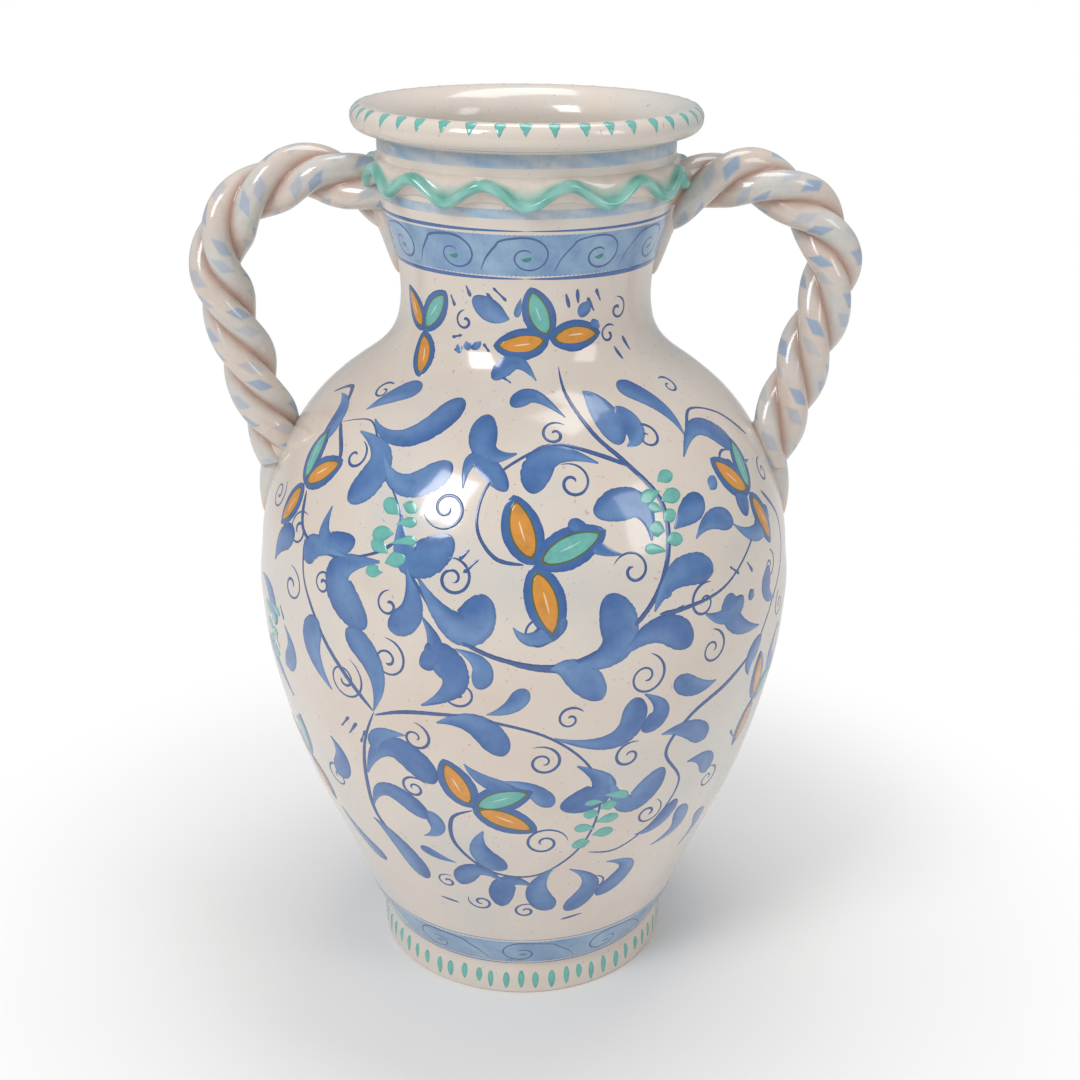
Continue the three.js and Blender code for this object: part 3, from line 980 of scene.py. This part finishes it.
# Rope handles: three coils twisted together, on the same middle line as the frame's strands
rope = {
    "radius": 0.0165,
    "lobe": 0.0092,
    "inset": 0.0006,
    "pitch": 0.102,
    "around": 78,
    "along": 300,
    "knotSteps": 40,
    "reach": 0.0872,
    "rootInside": 0.0064,
    "rootDip": 0.003,
    "endInside": 0.004,
    "rootDrop": 0.033,
    "rise": 0.011,
    "landingDrop": 0.082,
    "waist": 0.402,
    "dabGap": 0.0108,
}


def ropeLine():
    outmost = collarRadius + rope["reach"]
    rootZ = collarTop - rope["rootDrop"]
    archZ = rootZ + rope["rise"]
    landZ = rope["waist"] - rope["landingDrop"]
    landX = outerRadius(landZ) + rope["radius"] * 0.55
    drop, reach = archZ - landZ, outmost - collarRadius
    knots = [
        (collarRadius - rope["rootInside"], rootZ - rope["rootDip"]),
        (collarRadius + reach * 0.12, rootZ + rope["rise"] * 0.5),
        (collarRadius + reach * 0.36, archZ),
        (collarRadius + reach * 0.6, archZ - drop * 0.03),
        (collarRadius + reach * 0.81, archZ - drop * 0.11),
        (outmost - reach * 0.05, archZ - drop * 0.22),
        (outmost, archZ - drop * 0.35),
        (outmost - reach * 0.04, archZ - drop * 0.5),
        (outmost - reach * 0.13, archZ - drop * 0.69),
        ((landX + outmost - reach * 0.13) / 2, archZ - drop * 0.87),
        (landX, landZ),
        (landX - rope["endInside"], landZ - rope["radius"] * 0.9),
    ]
    path = through(knots, rope["knotSteps"])
    lengths = [0.0]
    for here, there in zip(path, path[1:]):
        lengths.append(lengths[-1] + math.dist(here, there))
    even = []
    i = 0
    for k in range(rope["along"] + 1):
        want = lengths[-1] * k / rope["along"]
        while i < len(lengths) - 2 and lengths[i + 1] < want:
            i += 1
        share = (want - lengths[i]) / max(1e-9, lengths[i + 1] - lengths[i])
        even.append(tuple(path[i][j] + (path[i + 1][j] - path[i][j]) * share for j in (0, 1)))
    return even, lengths[-1]


def lobeRadius(angle, squeeze):
    offset = rope["radius"] - rope["lobe"]
    radius = offset * math.cos(angle) + math.sqrt(rope["lobe"] ** 2 - (offset * math.sin(angle)) ** 2)
    return radius * squeeze


def makeRope(name, side, nodes):
    line, length = ropeLine()
    points, faces, tones = [], [], []
    sector = 2 * math.pi / 3
    for i, (x, z) in enumerate(line):
        before, after = line[max(0, i - 1)], line[min(len(line) - 1, i + 1)]
        dx, dz = after[0] - before[0], after[1] - before[1]
        size = math.hypot(dx, dz)
        acrossX, acrossZ = dz / size, -dx / size
        share = i / rope["along"]
        twist = -2 * math.pi * length / rope["pitch"] * share
        squeeze = 1 + 0.012 * math.sin(share * 37 + side)
        for k in range(rope["around"]):
            angle = 2 * math.pi * k / rope["around"]
            local = (angle + sector / 2) % sector - sector / 2
            radius = lobeRadius(local, squeeze) - rope["inset"]
            reach = angle + twist
            px = x + acrossX * radius * math.cos(reach)
            py = radius * math.sin(reach)
            pz = z + acrossZ * radius * math.cos(reach)
            points.append((side * px, side * py, pz))
            strand = int(((angle + sector / 2) % (2 * math.pi)) / sector)
            grooved = max(0.0, (abs(local) / (sector / 2) - 0.55) / 0.45) ** 1.6
            warmth = 0.5 + 0.4 * math.sin(share * 23 + strand * 2.1)
            base = mixed(glazes["creamWarm"], glazes["creamCool"], warmth)
            tone = mixed(base, glazes["groove"], 0.85 * grooved)
            along = share * length / rope["dabGap"] + strand * 0.37
            row = math.floor(along)
            centre = 0.28 * (1 if row % 2 else -1)
            offAlong = abs(along - row - 0.5) / 0.34
            offAcross = abs(local / (sector / 2) - centre) / 0.24
            shape = max(offAlong, offAcross)
            painted = min(1.0, max(0.0, (1.12 - shape) / 0.22))
            strength = 0.62 + 0.3 * math.sin(row * 2.7 + strand * 1.3)
            tones.append(mixed(tone, glazes["ropeBlue"], painted * strength))
    around = rope["around"]
    for i in range(len(line) - 1):
        for k in range(around):
            n = (k + 1) % around
            faces.append((i * around + k, i * around + n, (i + 1) * around + n, (i + 1) * around + k))
    for ring in (0, len(line) - 1):
        x, z = line[ring]
        points.append((side * x, 0.0, z))
        tones.append(glazes["creamWarm"])
        for k in range(around):
            faces.append((len(points) - 1, ring * around + k, ring * around + (k + 1) % around))
    return meshPiece(name, points, faces, tones, materials["rope"], nodes)


# Tongues of clay smoothed from the ends of the rope on to the vase
tabs = {
    "steps": 36,
    "around": 28,
    "depth": 0.004,
    "start": 0.002,
    "neck": {"length": 0.040, "width": 0.021, "thickness": 0.0066, "taper": 0.3},
    "shoulder": {"length": 0.048, "width": 0.025, "thickness": 0.0125, "taper": 0.72},
}


def makeTab(name, side, topZ, length, width, thickness, taper, nodes):
    points, faces, tones = [], [], []
    steps, around = tabs["steps"], tabs["around"]
    for i in range(steps + 1):
        share = i / steps
        z = topZ - length * share
        slope = (outerRadius(z + mm / 2) - outerRadius(z - mm / 2)) / mm
        outX, outZ = 1 / math.hypot(1, slope), -slope / math.hypot(1, slope)
        rounded = math.sqrt(max(0.0, 1 - share ** 4))
        half = width / 2 * rounded * (1 - 0.25 * share)
        high = thickness * (1 - taper * share) * rounded
        r = outerRadius(z)
        for k in range(around):
            angle = 2 * math.pi * k / around
            rise = math.sin(angle) * (high if math.sin(angle) > 0 else tabs["depth"])
            wide = half * math.cos(angle)
            drop = math.sqrt(max(0.0, r * r - wide * wide)) - r
            points.append((side * (r + drop + outX * rise), side * wide, z + outZ * rise))
            warmth = 0.5 + 0.5 * math.sin(share * 9)
            tones.append(mixed(glazes["creamCool"], glazes["creamWarm"], warmth))
    for i in range(steps):
        for k in range(around):
            n = (k + 1) % around
            faces.append((i * around + k, i * around + n, (i + 1) * around + n, (i + 1) * around + k))
    faces.append(tuple(range(around)))
    faces.append(tuple(steps * around + k for k in range(around)))
    return meshPiece(name, points, faces, tones, materials["rope"], nodes)


def makeHandles():
    rootZ = collarTop - rope["rootDrop"]
    landZ = rope["waist"] - rope["landingDrop"]
    for label, side in (("right", 1), ("left", -1)):
        makeRope(label + "Rope", side, [f"{label}_strand_{letter}" for letter in "abc"])
        makeTab(label + "NeckTab", side, rootZ - tabs["start"], **tabs["neck"],
                nodes=[label + "_neck_tab"])
        makeTab(label + "ShoulderTab", side, landZ - tabs["start"], **tabs["shoulder"],
                nodes=[label + "_shoulder_tab"])


makeHandles()
print("handles made")


# Floor, world and lamps
studio = {
    "floorSize": 30.0,
    "floorTone": (0.9, 0.9, 0.9, 1),
    "floorRoughness": 0.9,
    "aim": (0, 0, 0.28),
    "fadeFrom": 0.16,
    "fadeTo": 0.42,
    "worldLevel": 0.44,
    "key": {"place": (-1.3, -1.5, 1.9), "size": (0.8, 1.1), "power": 27},
    "fill": {"place": (1.9, -1.3, 1.5), "size": (0.8, 1.1), "power": 9},
    "top": {"place": (0.2, 0.4, 2.4), "size": (1.4, 1.0), "power": 16},
}


def areaLamp(name, spec):
    data = bpy.data.lights.new(name, "AREA")
    data.shape = "RECTANGLE"
    data.size, data.size_y = spec["size"]
    data.energy = spec["power"]
    thing = bpy.data.objects.new(name, data)
    bpy.context.collection.objects.link(thing)
    place = Vector(spec["place"])
    aim = Vector(studio["aim"]) - place
    thing.matrix_world = Matrix.Translation(place) @ aim.to_track_quat("-Z", "Y").to_matrix().to_4x4()


def makeStudio():
    world = bpy.data.worlds.new("studioWorld")
    bpy.context.scene.world = world
    world.use_nodes = True
    nodes, links = world.node_tree.nodes, world.node_tree.links
    soft = nodes["Background"]
    soft.inputs["Color"].default_value = (1, 1, 1, 1)
    soft.inputs["Strength"].default_value = studio["worldLevel"]
    # The camera sees a white backdrop, while the light comes from a plain softer one
    white = addNode(nodes, "ShaderNodeBackground", Strength=1.0)
    white.inputs["Color"].default_value = (1, 1, 1, 1)
    path = nodes.new("ShaderNodeLightPath")
    mix = nodes.new("ShaderNodeMixShader")
    links.new(path.outputs["Is Camera Ray"], mix.inputs["Fac"])
    links.new(soft.outputs[0], mix.inputs[1])
    links.new(white.outputs[0], mix.inputs[2])
    links.new(mix.outputs[0], nodes["World Output"].inputs["Surface"])

    bpy.ops.object.select_all(action="DESELECT")
    bpy.ops.mesh.primitive_circle_add(vertices=96, radius=studio["floorSize"], fill_type="NGON",
                                      location=(0, 0, 0))
    floor = bpy.context.object
    floor.name = "studioFloor"
    mat, nodes, links, shader = newMaterial("studioFloor")
    shader.inputs["Base Color"].default_value = studio["floorTone"]
    shader.inputs["Roughness"].default_value = studio["floorRoughness"]
    shader.inputs["Specular IOR Level"].default_value = 0.0
    place = nodes.new("ShaderNodeTexCoord")
    distance = addNode(nodes, "ShaderNodeVectorMath", operation="LENGTH")
    fade = nodes.new("ShaderNodeMapRange")
    fade.interpolation_type = "SMOOTHSTEP"
    fade.inputs["From Min"].default_value = studio["fadeFrom"]
    fade.inputs["From Max"].default_value = studio["fadeTo"]
    glow = addNode(nodes, "ShaderNodeEmission", Strength=1.0)
    path = nodes.new("ShaderNodeLightPath")
    seen = addNode(nodes, "ShaderNodeMath", operation="MULTIPLY")
    mix = nodes.new("ShaderNodeMixShader")
    links.new(place.outputs["Object"], distance.inputs[0])
    links.new(distance.outputs["Value"], fade.inputs["Value"])
    links.new(fade.outputs["Result"], seen.inputs[0])
    links.new(path.outputs["Is Camera Ray"], seen.inputs[1])
    links.new(seen.outputs[0], mix.inputs["Fac"])
    links.new(shader.outputs[0], mix.inputs[1])
    links.new(glow.outputs[0], mix.inputs[2])
    links.new(mix.outputs[0], nodes["Material Output"].inputs["Surface"])
    floor.data.materials.append(mat)
    for name in ("key", "fill", "top"):
        areaLamp(name + "Lamp", studio[name])
    bpy.context.scene.view_settings.view_transform = "Standard"


makeStudio()
print("studio ready")
